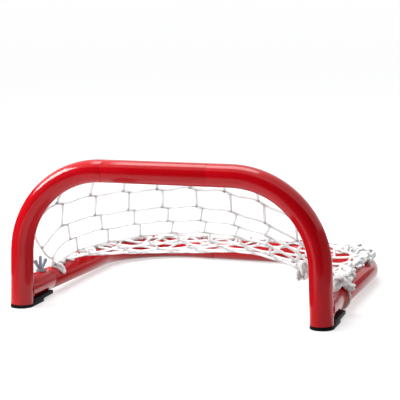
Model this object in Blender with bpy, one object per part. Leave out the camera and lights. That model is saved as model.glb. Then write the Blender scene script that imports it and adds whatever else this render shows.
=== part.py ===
"""Small field hockey goal: a knock-down frame of bent steel tube with a hung net.

Metres, +Z up. +X runs across the mouth, to the right as seen from in front of
the goal, and +Y runs from the mouth back into the goal. The origin lies on the
ground in the middle of the goal's length and width.
"""
import math

import bmesh
import bpy
from mathutils import Matrix, Vector

# Frame tube
TUBE_RADIUS = 0.019
TUBE_WALL = 0.0015
BEND_RADIUS = 0.1456
TUBE_SIDES = 20
BEND_STEPS = 9

# Push-fit joints: a swaged neck on one tube sits in the bore of the next
NECK_LENGTH = 0.045
NECK_CLEARANCE = 0.0003
SHOULDER = 0.0015

# Gap between pieces that touch
SEAT_GAP = 0.0003

# Hoop: two legs and a crossbar, standing up at the front
LEG_SPREAD = 0.5188
LEG_FLARE = math.radians(1.9)
CROSSBAR_HEIGHT = 0.2356
CROSSBAR_LEFT_SEAM = 0.106
CROSSBAR_RIGHT_SEAM = 0.073

# Base: a lying U whose rails plug into a socket on the back of each leg
BASE_DEPTH = 0.4854
SOCKET_HEIGHT = 0.0288
SOCKET_REACH = 0.095
BACK_LEFT_SEAM = 0.073
BACK_RIGHT_SEAM = 0.106

# Moulded feet
FOOT_RADIUS = 0.0195
FOOT_LENGTH = 0.045
SOLE_THICKNESS = 0.0048
PLUG_HEIGHT = 0.026
PLUG_WALL = 0.0025
PLUG_CLEARANCE = 0.0004
SADDLE_TOP = 0.012
SADDLE_FRONT = 0.008
FLANGE_REACH = 0.082
FLANGE_ROOT = 0.005
FLANGE_TIP = 0.008
BOSS_RADIUS = 0.0085
BOSS_UNDERSIDE = 0.0039

# Clamp bolts with wing nuts
BOLT_REACH = 0.072
BOLT_RADIUS = 0.003
BOLT_LENGTH = 0.070
BOLT_HOLE_CLEARANCE = 0.0004
BOLT_HEAD_RADIUS = 0.007
BOLT_HEAD_HEIGHT = 0.0028
WASHER_RADIUS = 0.009
WASHER_THICKNESS = 0.0016
HUB_RADIUS = 0.006
HUB_TOP_RADIUS = 0.005
HUB_HEIGHT = 0.009
WING_SPAN = 0.028
WING_HEIGHT = 0.019
WING_TIP_RADIUS = 0.0036
WING_THICKNESS = 0.0026
LEFT_WING_TURN = math.radians(62)
RIGHT_WING_TURN = math.radians(15)
BOLT_SIDES = 16

# Net
TWINE = 0.004
TWINE_LIFT = 0.0034
JOINT_LENGTH = 0.009
MESH_WIDTH = 0.054
MESH_COLUMNS = 9
MESH_ROWS = 11
FIRST_COLUMN = -0.230
NET_LEAVES_LEG = 0.104
NET_MEETS_RAIL = 0.114
NET_BOW = 0.022
NET_BACK_CORNER = 0.225
STEEP_SHARE = 0.58
STEEP_LENGTH = 0.12
RIGHT_SAG = 0.016

# Wire hooks that hold the net's border
HOOK_WIRE_RADIUS = 0.0014
HOOK_CLEARANCE = 0.0004
HOOK_TAIL = 0.0025
HOOK_SIDES = 6

# Cords that tie the net to the rails beside the sockets
TIE_CORD_RADIUS = 0.0018
TIE_REACH = 0.100
TIE_SIDES = 8

# Values that follow from the driving sizes
BORE_RADIUS = TUBE_RADIUS - TUBE_WALL
NECK_RADIUS = BORE_RADIUS - NECK_CLEARANCE
HOOP_Y = (FOOT_RADIUS - BASE_DEPTH - TUBE_RADIUS) / 2
BASE_SLOPE = math.asin((SOCKET_HEIGHT - TUBE_RADIUS) / BASE_DEPTH)
BASE_RUN = BASE_DEPTH / math.cos(BASE_SLOPE)
SOCKET_SPREAD = LEG_SPREAD - 2 * SOCKET_HEIGHT * math.tan(LEG_FLARE)
POST_LIFT = SOLE_THICKNESS + SEAT_GAP + TUBE_RADIUS * math.sin(LEG_FLARE)
HOOK_REACH = TWINE / math.sqrt(2) + HOOK_CLEARANCE + HOOK_WIRE_RADIUS


def clear_scene():
    for item in list(bpy.data.objects):
        bpy.data.objects.remove(item, do_unlink=True)


def surface_finish(name, colour, metallic, roughness):
    material = bpy.data.materials.new(name + "_finish")
    material.use_nodes = True
    shader = material.node_tree.nodes["Principled BSDF"]
    shader.inputs["Base Color"].default_value = (*colour, 1.0)
    shader.inputs["Metallic"].default_value = metallic
    shader.inputs["Roughness"].default_value = roughness
    material.diffuse_color = (*colour, 1.0)
    return material


def red_paint(name):
    return surface_finish(name, (0.62, 0.008, 0.014), 0.0, 0.22)


def black_plastic(name):
    return surface_finish(name, (0.018, 0.018, 0.02), 0.0, 0.5)


def zinc_plate(name):
    return surface_finish(name, (0.62, 0.64, 0.67), 1.0, 0.32)


def white_twine(name):
    return surface_finish(name, (0.86, 0.86, 0.84), 0.0, 0.8)


def cream_cord(name):
    return surface_finish(name, (0.80, 0.72, 0.62), 0.0, 0.8)


def add_solid(name, shape, finish, parent=None):
    """Turn a bmesh into a smooth-shaded object with its own material."""
    bmesh.ops.recalc_face_normals(shape, faces=shape.faces)
    mesh = bpy.data.meshes.new(name)
    shape.to_mesh(mesh)
    shape.free()
    mesh.shade_smooth()
    mesh.set_sharp_from_angle(angle=math.radians(35))
    item = bpy.data.objects.new(name, mesh)
    bpy.context.collection.objects.link(item)
    item.parent = parent
    if finish:
        mesh.materials.append(finish(name))
    return item


def add_cutter(name, shape, parent=None):
    item = add_solid(name, shape, None, parent)
    item.hide_render = True
    item.display_type = "WIRE"
    return item


def combine(item, tool, operation):
    modifier = item.modifiers.new(operation.title() + "_" + tool.name, "BOOLEAN")
    modifier.operation = operation
    modifier.object = tool
    modifier.solver = "EXACT"


def skin_rings(rings, closed):
    """Skin a list of rings; an open stack is capped at both ends."""
    shape = bmesh.new()
    loops = [[shape.verts.new(point) for point in ring] for ring in rings]
    count = len(loops[0])
    pairs = list(zip(loops, loops[1:]))
    if closed:
        pairs.append((loops[-1], loops[0]))
    for near, far in pairs:
        for k in range(count):
            after = (k + 1) % count
            shape.faces.new((near[k], near[after], far[after], far[k]))
    if not closed:
        shape.faces.new(loops[0])
        shape.faces.new(loops[-1])
    return shape


def turned_shape(profile, sides):
    """Revolve (radius, height) points about Z, from the bottom up."""
    rings = []
    for radius, height in profile:
        ring = []
        for k in range(sides):
            angle = math.tau * k / sides
            ring.append(Vector((radius * math.cos(angle), radius * math.sin(angle), height)))
        rings.append(ring)
    return rings


def extruded_outline(outline, low, high, place):
    """A prism over a flat outline, with place mapping (a, b, height) to space."""
    rings = [[place(a, b, level) for a, b in outline] for level in (low, high)]
    return skin_rings(rings, False)


# Flat paths: a start point, a heading and runs of (length, angle turned)

def walk(path, distance):
    """Point and heading on a flat path at a distance from its start."""
    x, y, heading, runs = path
    for length, turn in runs:
        step = min(distance, length)
        if turn:
            radius = length / turn
            after = heading + step / radius
            x += radius * (math.sin(after) - math.sin(heading))
            y -= radius * (math.cos(after) - math.cos(heading))
            heading = after
        else:
            x += step * math.cos(heading)
            y += step * math.sin(heading)
        distance -= step
        if distance <= 0:
            break
    return x, y, heading


def corner_path(spread, reach, flare):
    """Left half of a U: in from the open end, round the bend and on to the middle."""
    bend_start = reach - BEND_RADIUS * (1 - math.sin(flare))
    first_run = bend_start / math.cos(flare)
    quarter = math.pi / 2 - flare
    bend_run = BEND_RADIUS * quarter
    bend_end = -spread / 2 + bend_start * math.tan(flare) + BEND_RADIUS * math.cos(flare)
    runs = ((first_run, 0.0), (bend_run, -quarter), (-bend_end, 0.0))
    path = (-spread / 2, 0.0, quarter, runs)
    return path, first_run, first_run + bend_run, first_run + bend_run - bend_end


HOOP_PATH, HOOP_BEND_START, HOOP_BEND_END, HOOP_MIDDLE = corner_path(
    LEG_SPREAD, CROSSBAR_HEIGHT, LEG_FLARE)
BASE_PATH, BASE_BEND_START, BASE_BEND_END, BASE_MIDDLE = corner_path(
    SOCKET_SPREAD, BASE_RUN, 0.0)


def hoop_plane(side):
    """Map path coordinates to the upright plane of the hoop."""
    return lambda across, along, out: Vector((-side * across, out, along))


def base_plane(side):
    """Map path coordinates to the plane of the base."""
    return lambda across, along, out: Vector((-side * across, along, out))


def path_ring(path, distance, radius, place):
    x, y, heading = walk(path, distance)
    ring = []
    for k in range(TUBE_SIDES):
        angle = math.tau * k / TUBE_SIDES
        lateral = radius * math.cos(angle)
        ring.append(place(x - lateral * math.sin(heading), y + lateral * math.cos(heading),
                          radius * math.sin(angle)))
    return ring


def tube_stations(start, end, neck_at_start, neck_at_end, bend):
    """Distances along a tube with its outer radius there, necks included."""
    stations = []
    if neck_at_start:
        stations.append((start - NECK_LENGTH, NECK_RADIUS))
        stations.append((start, NECK_RADIUS))
        stations.append((start + SHOULDER, TUBE_RADIUS))
    else:
        stations.append((start, TUBE_RADIUS))
    if bend:
        for k in range(BEND_STEPS + 1):
            stations.append((bend[0] + (bend[1] - bend[0]) * k / BEND_STEPS, TUBE_RADIUS))
    if neck_at_end:
        stations.append((end - SHOULDER, TUBE_RADIUS))
        stations.append((end, NECK_RADIUS))
        stations.append((end + NECK_LENGTH, NECK_RADIUS))
    else:
        stations.append((end, TUBE_RADIUS))
    return stations


def tube_shape(path, stations, place):
    outside = [path_ring(path, s, radius, place) for s, radius in stations]
    inside = [path_ring(path, s, radius - TUBE_WALL, place) for s, radius in stations]
    return skin_rings(outside + inside[::-1], True)


def rod_shape(path, start, end, radius, place):
    rings = [path_ring(path, start, radius, place), path_ring(path, end, radius, place)]
    return skin_rings(rings, False)


def straight_tube(name, left, right, height, finish, parent=None):
    """A plain tube along X whose ends stand clear of the seams by the seat gap."""
    path = (left, 0.0, 0.0, ((right - left, 0.0),))
    stations = ((SEAT_GAP, TUBE_RADIUS), (right - left - SEAT_GAP, TUBE_RADIUS))
    place = height
    return add_solid(name, tube_shape(path, stations, place), finish, parent)


def add_posts():
    """The two bent legs, each ending in a neck that enters the crossbar."""
    for name, side, seam in (("left_post", -1, CROSSBAR_LEFT_SEAM),
                             ("right_post", 1, CROSSBAR_RIGHT_SEAM)):
        start = POST_LIFT / math.cos(LEG_FLARE)
        stations = tube_stations(start, HOOP_MIDDLE - seam, False, True,
                                 (HOOP_BEND_START, HOOP_BEND_END))
        post = add_solid(name, tube_shape(HOOP_PATH, stations, hoop_plane(side)), red_paint)
        post.location = (0.0, HOOP_Y, 0.0)


def add_crossbar():
    bar = straight_tube("crossbar", -CROSSBAR_LEFT_SEAM, CROSSBAR_RIGHT_SEAM,
                        lambda across, along, out: Vector((across, out, along)), red_paint)
    bar.location = (0.0, HOOP_Y, CROSSBAR_HEIGHT)


def add_base_frame():
    """Empty on the hoop plane whose Y axis runs down the slope of the base."""
    frame = bpy.data.objects.new("base_frame", None)
    bpy.context.collection.objects.link(frame)
    frame.location = (0.0, HOOP_Y, SOCKET_HEIGHT)
    frame.rotation_euler = (-BASE_SLOPE, 0.0, 0.0)
    return frame


def post_cutter(side, start, end):
    """The leg's outline with the seat gap added, as a solid."""
    shape = rod_shape(HOOP_PATH, start, end, TUBE_RADIUS + SEAT_GAP, hoop_plane(side))
    cutter = add_cutter("post_cutter", shape)
    cutter.location = (0.0, HOOP_Y, 0.0)
    return cutter


def bolt_cutter(side, frame):
    radius = BOLT_RADIUS + BOLT_HOLE_CLEARANCE
    rings = turned_shape(((radius, -BOLT_LENGTH), (radius, BOLT_LENGTH)), BOLT_SIDES)
    cutter = add_cutter("bolt_cutter", skin_rings(rings, False), frame)
    cutter.location = (side * SOCKET_SPREAD / 2, BOLT_REACH, 0.0)
    return cutter


def add_sockets(frame):
    """Short tubes coped to the legs, drilled for the clamp bolts."""
    for name, side in (("left_socket", -1), ("right_socket", 1)):
        stations = ((0.0, TUBE_RADIUS), (SOCKET_REACH - SEAT_GAP, TUBE_RADIUS))
        shape = tube_shape(BASE_PATH, stations, base_plane(side))
        socket = add_solid(name, shape, red_paint, frame)
        combine(socket, post_cutter(side, 0.0, 3 * SOCKET_HEIGHT), "DIFFERENCE")
        combine(socket, bolt_cutter(side, frame), "DIFFERENCE")


def add_rails(frame):
    """Bent side tubes of the base, necked at both ends."""
    for name, side, seam in (("left_rail", -1, BACK_LEFT_SEAM),
                             ("right_rail", 1, BACK_RIGHT_SEAM)):
        stations = tube_stations(SOCKET_REACH, BASE_MIDDLE - seam, True, True,
                                 (BASE_BEND_START, BASE_BEND_END))
        shape = tube_shape(BASE_PATH, stations, base_plane(side))
        rail = add_solid(name, shape, red_paint, frame)
        combine(rail, bolt_cutter(side, frame), "DIFFERENCE")


def add_back_tube(frame):
    tube = straight_tube("back_tube", -BACK_LEFT_SEAM, BACK_RIGHT_SEAM,
                         lambda across, along, out: Vector((across, along, out)),
                         red_paint, frame)
    tube.location = (0.0, BASE_RUN, 0.0)


def foot_plan():
    """Plan of a foot: round under the leg, then straight sides to the flange tip."""
    outline = []
    for k in range(TUBE_SIDES // 2 + 1):
        angle = math.pi + math.pi * k / (TUBE_SIDES // 2)
        outline.append((FOOT_RADIUS * math.cos(angle), FOOT_RADIUS * math.sin(angle)))
    outline.append((FOOT_RADIUS, FLANGE_REACH))
    outline.append((-FOOT_RADIUS, FLANGE_REACH))
    return outline


def foot_side():
    """Side view of a foot: sole, heel, and the flange that reaches under the socket."""
    return ((-2 * FOOT_RADIUS, 0.0), (FOOT_LENGTH, 0.0), (FOOT_LENGTH, FLANGE_ROOT),
            (FOOT_LENGTH + FLANGE_ROOT, FLANGE_ROOT + SEAT_GAP), (2 * FLANGE_REACH, FLANGE_TIP),
            (2 * FLANGE_REACH, SADDLE_TOP), (SADDLE_FRONT, SADDLE_TOP),
            (SADDLE_FRONT, SOLE_THICKNESS), (-2 * FOOT_RADIUS, SOLE_THICKNESS))


def plug_shape(side):
    """Hollow plug that fills the bottom of the leg."""
    outer = BORE_RADIUS - PLUG_CLEARANCE
    inner = outer - PLUG_WALL
    base = SOLE_THICKNESS / 2
    floor = SOLE_THICKNESS + PLUG_WALL
    rings = [path_ring(HOOP_PATH, base, outer, hoop_plane(side)),
             path_ring(HOOP_PATH, PLUG_HEIGHT, outer, hoop_plane(side)),
             path_ring(HOOP_PATH, PLUG_HEIGHT, inner, hoop_plane(side)),
             path_ring(HOOP_PATH, floor, inner, hoop_plane(side))]
    return skin_rings(rings, False)


def add_feet(frame):
    """Moulded feet: plug, sole, saddle under the socket and boss for the bolt."""
    for name, side in (("left_foot", -1), ("right_foot", 1)):
        body = extruded_outline(foot_side(), -2 * FOOT_RADIUS, 2 * FOOT_RADIUS,
                                lambda a, b, across: Vector((across, a, b)))
        foot = add_solid(name, body, black_plastic)
        centre = (side * LEG_SPREAD / 2, HOOP_Y, 0.0)
        foot.location = centre
        plan = add_cutter("foot_plan", extruded_outline(foot_plan(), -SADDLE_TOP, 2 * SADDLE_TOP,
                                                        lambda a, b, up: Vector((a, b, up))))
        plan.location = centre
        boss = add_cutter("foot_boss", skin_rings(turned_shape(
            ((BOSS_RADIUS, BOSS_UNDERSIDE), (BOSS_RADIUS, SADDLE_TOP - SEAT_GAP)), TUBE_SIDES), False))
        boss.location = (side * SOCKET_SPREAD / 2, HOOP_Y + BOLT_REACH, 0.0)
        saddle = add_cutter("saddle_cutter", rod_shape(BASE_PATH, -2 * FOOT_RADIUS, 2 * FLANGE_REACH,
                                                       TUBE_RADIUS + SEAT_GAP, base_plane(side)), frame)
        plug = add_cutter("foot_plug", plug_shape(side))
        plug.location = (0.0, HOOP_Y, 0.0)
        combine(foot, plan, "INTERSECT")
        combine(foot, boss, "UNION")
        combine(foot, saddle, "DIFFERENCE")
        combine(foot, post_cutter(side, SOLE_THICKNESS, 3 * SOCKET_HEIGHT), "DIFFERENCE")
        combine(foot, plug, "UNION")
        combine(foot, bolt_cutter(side, frame), "DIFFERENCE")


def bolt_head_top():
    """Height of the bolt head's top in the base frame, just under the foot's boss."""
    drop = SOCKET_HEIGHT - BOLT_REACH * math.tan(BASE_SLOPE)
    return BOSS_UNDERSIDE - SEAT_GAP - drop - BOLT_HEAD_RADIUS * math.sin(BASE_SLOPE)


def add_bolts(frame):
    top = bolt_head_top()
    for name, side in (("left_bolt", -1), ("right_bolt", 1)):
        profile = ((BOLT_HEAD_RADIUS * 0.45, top - BOLT_HEAD_HEIGHT),
                   (BOLT_HEAD_RADIUS * 0.85, top - BOLT_HEAD_HEIGHT * 0.7),
                   (BOLT_HEAD_RADIUS, top - BOLT_HEAD_HEIGHT * 0.25), (BOLT_HEAD_RADIUS, top),
                   (BOLT_RADIUS, top), (BOLT_RADIUS, top + BOLT_LENGTH - BOLT_RADIUS / 3),
                   (BOLT_RADIUS * 0.75, top + BOLT_LENGTH))
        bolt = add_solid(name, skin_rings(turned_shape(profile, BOLT_SIDES), False),
                         zinc_plate, frame)
        bolt.location = (side * SOCKET_SPREAD / 2, BOLT_REACH, 0.0)


def ring_solid(outer, inner, low, high):
    """A flat washer or any other square-edged ring about Z."""
    return skin_rings(turned_shape(((outer, low), (outer, high), (inner, high), (inner, low)),
                                   BOLT_SIDES), True)


def add_washers(frame):
    low = TUBE_RADIUS + SEAT_GAP
    for name, side in (("left_washer", -1), ("right_washer", 1)):
        shape = ring_solid(WASHER_RADIUS, BOLT_RADIUS + BOLT_HOLE_CLEARANCE, low,
                           low + WASHER_THICKNESS)
        washer = add_solid(name, shape, zinc_plate, frame)
        washer.location = (side * SOCKET_SPREAD / 2, BOLT_REACH, 0.0)


def wing_outline(side):
    """One wing in side view: a slanted arm with a round tip."""
    tip_x = WING_SPAN / 2 - WING_TIP_RADIUS
    tip_z = WING_HEIGHT - WING_TIP_RADIUS
    outline = [(0.0, HUB_HEIGHT * 0.15), (HUB_RADIUS, HUB_HEIGHT * 0.2)]
    for k in range(9):
        angle = math.radians(-35 + 200 * k / 8)
        outline.append((tip_x + WING_TIP_RADIUS * math.cos(angle),
                        tip_z + WING_TIP_RADIUS * math.sin(angle)))
    outline.append((HUB_TOP_RADIUS, HUB_HEIGHT))
    outline.append((0.0, HUB_HEIGHT * 0.95))
    return [(side * x, z) for x, z in outline]


def add_wing_nuts(frame):
    """Wing nuts, each with its origin on the bolt's axis so that it can turn."""
    low = TUBE_RADIUS + WASHER_THICKNESS + 2 * SEAT_GAP
    for name, side, turn in (("left_wing_nut", -1, LEFT_WING_TURN),
                             ("right_wing_nut", 1, RIGHT_WING_TURN)):
        hub = skin_rings(turned_shape(((HUB_RADIUS, 0.0), (HUB_RADIUS, HUB_HEIGHT * 0.35),
                                       (HUB_TOP_RADIUS, HUB_HEIGHT)), BOLT_SIDES), False)
        nut = add_solid(name, hub, zinc_plate, frame)
        nut.location = (side * SOCKET_SPREAD / 2, BOLT_REACH, low)
        nut.rotation_euler = (0.0, 0.0, turn)
        for wing_side in (-1, 1):
            shape = extruded_outline(wing_outline(wing_side), -WING_THICKNESS / 2,
                                     WING_THICKNESS / 2, lambda a, b, depth: Vector((a, depth, b)))
            wing = add_cutter("wing_arm", shape, nut)
            combine(nut, wing, "UNION")
        bore_radius = BOLT_RADIUS + BOLT_HOLE_CLEARANCE
        bore = add_cutter("wing_nut_bore", skin_rings(turned_shape(
            ((bore_radius, -HUB_HEIGHT), (bore_radius, 2 * WING_HEIGHT)), BOLT_SIDES), False), nut)
        combine(nut, bore, "DIFFERENCE")


# The net's border follows the back of the hoop and the crown of the base

def base_to_world(point):
    tilt = Matrix.Translation((0.0, HOOP_Y, SOCKET_HEIGHT)) @ Matrix.Rotation(-BASE_SLOPE, 4, "X")
    return tilt @ point


def hoop_border(offset):
    """Border point behind the hoop, at a signed distance from the crossbar's middle."""
    x, z, heading = walk(HOOP_PATH, HOOP_MIDDLE - abs(offset))
    side = -1 if offset < 0 else 1
    return Vector((-side * x, HOOP_Y + TUBE_RADIUS + TWINE_LIFT, z))


def base_border(offset):
    """Border point on the base's crown, at a signed distance from its back middle."""
    x, y, heading = walk(BASE_PATH, BASE_MIDDLE - abs(offset))
    side = -1 if offset < 0 else 1
    return base_to_world(Vector((-side * x, y, TUBE_RADIUS + TWINE_LIFT)))


def resample(points, count):
    """Points spaced evenly along a polyline."""
    lengths = [0.0]
    for near, far in zip(points, points[1:]):
        lengths.append(lengths[-1] + (far - near).length)
    result = []
    segment = 0
    for k in range(count + 1):
        target = lengths[-1] * k / count
        while segment < len(points) - 2 and lengths[segment + 1] < target:
            segment += 1
        span = lengths[segment + 1] - lengths[segment]
        share = (target - lengths[segment]) / span
        result.append(points[segment].lerp(points[segment + 1], share))
    return result


def swoop(start, start_pull, end, end_pull, count):
    """Cubic curve that leaves start and arrives at end along the given pulls."""
    near = start + start_pull
    far = end - end_pull
    points = []
    for k in range(1, count):
        t = k / count
        s = 1 - t
        points.append(start * s ** 3 + near * (3 * s * s * t) + far * (3 * s * t * t) + end * t ** 3)
    return points


def spaced(start, end, step=0.004):
    count = max(2, int(abs(end - start) / step))
    return [start + (end - start) * k / count for k in range(count + 1)]


def side_border(side, top_corner):
    """Border from the arch down a leg, over the wing nut and back along a rail."""
    leaves = HOOP_MIDDLE - NET_LEAVES_LEG / math.cos(LEG_FLARE)
    meets = BASE_MIDDLE - NET_MEETS_RAIL
    points = [hoop_border(side * s) for s in spaced(abs(top_corner), leaves)]
    landing = [base_border(side * s) for s in spaced(meets, NET_BACK_CORNER)]
    leave = Vector((-side * NET_BOW, 0.020, -0.010))
    land = Vector((side * NET_BOW, 0.014, -0.006))
    points += swoop(points[-1], leave, landing[0], land, 16)
    return resample(points + landing, 2 * MESH_ROWS)


def middle_line(start, end):
    """Centre line of the hung net: steep behind the crossbar, then nearly flat."""
    points = []
    for k in range(201):
        t = k / 200
        steep = (math.exp(-t / STEEP_LENGTH) - math.exp(-1 / STEEP_LENGTH))
        share = (1 - STEEP_SHARE) * (1 - t) + STEEP_SHARE * steep
        points.append(Vector((start.x + (end.x - start.x) * t, start.y + (end.y - start.y) * t,
                              end.z + (start.z - end.z) * share)))
    points[0] = start
    return resample(points, 2 * MESH_ROWS)


def net_surface():
    """Grid of points, two steps to a mesh, over the whole hung net."""
    columns = 2 * MESH_COLUMNS
    rows = 2 * MESH_ROWS
    last_column = FIRST_COLUMN + MESH_COLUMNS * MESH_WIDTH
    top = [hoop_border(FIRST_COLUMN + MESH_WIDTH * i / 2) for i in range(columns + 1)]
    bottom = [base_border(-NET_BACK_CORNER + 2 * NET_BACK_CORNER * i / columns)
              for i in range(columns + 1)]
    left = side_border(-1, FIRST_COLUMN)
    right = side_border(1, last_column)
    middle = middle_line(top[MESH_COLUMNS], bottom[MESH_COLUMNS])

    def patch(i, j):
        u = i / columns
        v = j / rows
        ruled = top[i].lerp(bottom[i], v) + left[j].lerp(right[j], u)
        corners = top[0].lerp(top[-1], u).lerp(bottom[0].lerp(bottom[-1], u), v)
        return ruled - corners

    grid = []
    for i in range(columns + 1):
        u = i / columns
        spread = 1 - abs(2 * u - 1) ** 3
        column = []
        for j in range(rows + 1):
            point = patch(i, j) + (middle[j] - patch(MESH_COLUMNS, j)) * spread
            point.z -= RIGHT_SAG * math.sin(math.pi * j / rows) ** 2 * math.sin(math.pi * u ** 2) ** 2
            column.append(point)
        grid.append(column)
    return grid


def add_net(grid):
    """Knotless mesh: each joint is a short bar that its two upright twines leave apart."""
    shape = bmesh.new()
    columns = len(grid) - 1
    rows = len(grid[0]) - 1
    half_joint = JOINT_LENGTH / 2
    half_twine = TWINE / 2

    def across_at(i, j):
        across = grid[min(i + 1, columns)][j] - grid[max(i - 1, 0)][j]
        if i in (0, columns):
            if grid[i][j].z > CROSSBAR_HEIGHT / 3:
                across.y = 0.0
            else:
                across.z = 0.0
        return across.normalized()

    def down_at(i, j):
        return (grid[i][min(j + 1, rows)] - grid[i][max(j - 1, 0)]).normalized()

    joints = {}
    for i in range(0, columns + 1, 2):
        for j in range(0, rows + 1, 2):
            across = across_at(i, j)
            down = down_at(i, j)
            corner = {}
            for a in (-1, 0, 1):
                for d in (-1, 1):
                    place = grid[i][j] + across * (a * half_joint) + down * (d * half_twine)
                    corner[a, d] = shape.verts.new(place)
            for a in (-1, 0):
                shape.faces.new((corner[a, -1], corner[a + 1, -1], corner[a + 1, 1], corner[a, 1]))
            joints[i, j] = corner

    def strand(first, middle_pair, last):
        shape.faces.new((first[0], first[1], middle_pair[1], middle_pair[0]))
        shape.faces.new((middle_pair[0], middle_pair[1], last[1], last[0]))

    for (i, j), corner in joints.items():
        if i < columns:
            offset = down_at(i + 1, j) * half_twine
            pair = [shape.verts.new(grid[i + 1][j] + offset), shape.verts.new(grid[i + 1][j] - offset)]
            beyond = joints[i + 2, j]
            strand((corner[1, 1], corner[1, -1]), pair, (beyond[-1, 1], beyond[-1, -1]))
        if j < rows:
            offset = across_at(i, j + 1) * half_twine
            pair = [shape.verts.new(grid[i][j + 1] - offset), shape.verts.new(grid[i][j + 1] + offset)]
            beyond = joints[i, j + 2]
            strand((corner[0, 1], corner[1, 1]), pair, (beyond[-1, -1], beyond[0, -1]))
    net = add_solid("net", shape, white_twine)
    thicken = net.modifiers.new("Twine_thickness", "SOLIDIFY")
    thicken.thickness = TWINE
    thicken.offset = 0.0


def hook_mesh():
    """Mesh of one wire hook: out is +Z, the long leg stands at +Y, the tail at -Y."""
    foot = SEAT_GAP - TWINE_LIFT
    wire = [(HOOK_REACH, foot), (HOOK_REACH, 0.0)]
    for k in range(1, 6):
        angle = math.pi * k / 6
        wire.append((HOOK_REACH * math.cos(angle), HOOK_REACH * math.sin(angle)))
    wire.append((-HOOK_REACH, 0.0))
    wire.append((-HOOK_REACH, -HOOK_TAIL))
    rings = []
    for k, (y, z) in enumerate(wire):
        before = wire[max(k - 1, 0)]
        after = wire[min(k + 1, len(wire) - 1)]
        heading = math.atan2(after[1] - before[1], after[0] - before[0])
        ring = []
        for m in range(HOOK_SIDES):
            angle = math.tau * m / HOOK_SIDES
            lateral = HOOK_WIRE_RADIUS * math.sin(angle)
            ring.append(Vector((HOOK_WIRE_RADIUS * math.cos(angle),
                                y - lateral * math.sin(heading), z + lateral * math.cos(heading))))
        rings.append(ring)
    shape = skin_rings(rings, False)
    bmesh.ops.recalc_face_normals(shape, faces=shape.faces)
    mesh = bpy.data.meshes.new("hook")
    shape.to_mesh(mesh)
    shape.free()
    mesh.shade_smooth()
    mesh.set_sharp_from_angle(angle=math.radians(50))
    mesh.materials.append(red_paint("hook"))
    return mesh


def place_hook(name, mesh, before, seat, after, out):
    """Stand a hook over the net's border at seat, with its leg on the net's side."""
    along = (after - before).normalized()
    inward = out.cross(along)
    if inward.dot(Vector((-seat.x, -seat.y, 0.1 - seat.z))) < 0:
        inward = -inward
        along = -along
    hook = bpy.data.objects.new(name, mesh)
    bpy.context.collection.objects.link(hook)
    hook.location = seat
    hook.rotation_euler = Matrix((along, inward, out)).transposed().to_euler()


def add_hooks(grid):
    """Hooks in the middle of every other mesh: behind the hoop and on the base's crown."""
    mesh = hook_mesh()
    backward = Vector((0.0, 1.0, 0.0))
    upward = Vector((0.0, math.sin(BASE_SLOPE), math.cos(BASE_SLOPE)))
    last = len(grid[0]) - 1
    top = [column[0] for column in grid]
    bottom = [column[last] for column in grid]
    for number, i in enumerate(range(1, len(top), 4)):
        place_hook(f"hoop_hook_{number + 1}", mesh, top[i - 1], top[i], top[i + 1], backward)
        place_hook(f"back_hook_{number + 1}", mesh, bottom[i - 1], bottom[i], bottom[i + 1], upward)
    for word, edge in (("left", grid[0]), ("right", grid[-1])):
        for number, j in enumerate(range(last - 1, last - 10, -4)):
            place_hook(f"{word}_rail_hook_{number + 1}", mesh, edge[j - 1], edge[j], edge[j + 1],
                       upward)


def add_tie(name, side, border):
    """Loop of cord round a rail and the net's border above it."""
    tube_centre = base_to_world(Vector((side * SOCKET_SPREAD / 2, TIE_REACH, 0.0)))
    crossing = min(range(len(border) - 1), key=lambda j: abs(border[j].y - tube_centre.y)
                   + abs(border[j + 1].y - tube_centre.y))
    near = border[crossing]
    far = border[crossing + 1]
    twine_centre = near.lerp(far, (tube_centre.y - near.y) / (far.y - near.y))
    rise = (Vector((twine_centre.x, 0.0, twine_centre.z))
            - Vector((tube_centre.x, 0.0, tube_centre.z)))
    big = TUBE_RADIUS + SEAT_GAP + TIE_CORD_RADIUS
    small = TWINE + SEAT_GAP + TIE_CORD_RADIUS
    lean = math.acos((big - small) / rise.length)
    heading = math.atan2(rise.z, rise.x)
    stations = []
    for k in range(19):
        angle = heading + lean + (math.tau - 2 * lean) * k / 18
        stations.append(tube_centre + Vector((math.cos(angle), 0.0, math.sin(angle))) * big)
    top = Vector((twine_centre.x, tube_centre.y, twine_centre.z))
    for k in range(7):
        angle = heading - lean + 2 * lean * k / 6
        stations.append(top + Vector((math.cos(angle), 0.0, math.sin(angle))) * small)
    rings = []
    count = len(stations)
    for k, point in enumerate(stations):
        forward = (stations[(k + 1) % count] - stations[k - 1]).normalized()
        lateral = forward.cross(Vector((0.0, 1.0, 0.0)))
        ring = []
        for m in range(TIE_SIDES):
            angle = math.tau * m / TIE_SIDES
            ring.append(point + Vector((0.0, 1.0, 0.0)) * (TIE_CORD_RADIUS * math.cos(angle))
                        + lateral * (TIE_CORD_RADIUS * math.sin(angle)))
        rings.append(ring)
    add_solid(name, skin_rings(rings, True), cream_cord)


def main():
    clear_scene()
    frame = add_base_frame()
    add_posts()
    add_crossbar()
    add_sockets(frame)
    add_rails(frame)
    add_back_tube(frame)
    add_feet(frame)
    add_bolts(frame)
    add_washers(frame)
    add_wing_nuts(frame)
    grid = net_surface()
    add_net(grid)
    add_hooks(grid)
    add_tie("left_tie_cord", -1, grid[0])
    add_tie("right_tie_cord", 1, grid[-1])
    bpy.context.view_layer.update()


main()
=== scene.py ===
"""Looks of the small field hockey goal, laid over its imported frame.

Metres, +Z up. +X runs across the mouth and +Y from the mouth back into the goal.
"""
import math

import bmesh
import bpy
import numpy as np
from mathutils import Matrix, Vector


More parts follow.
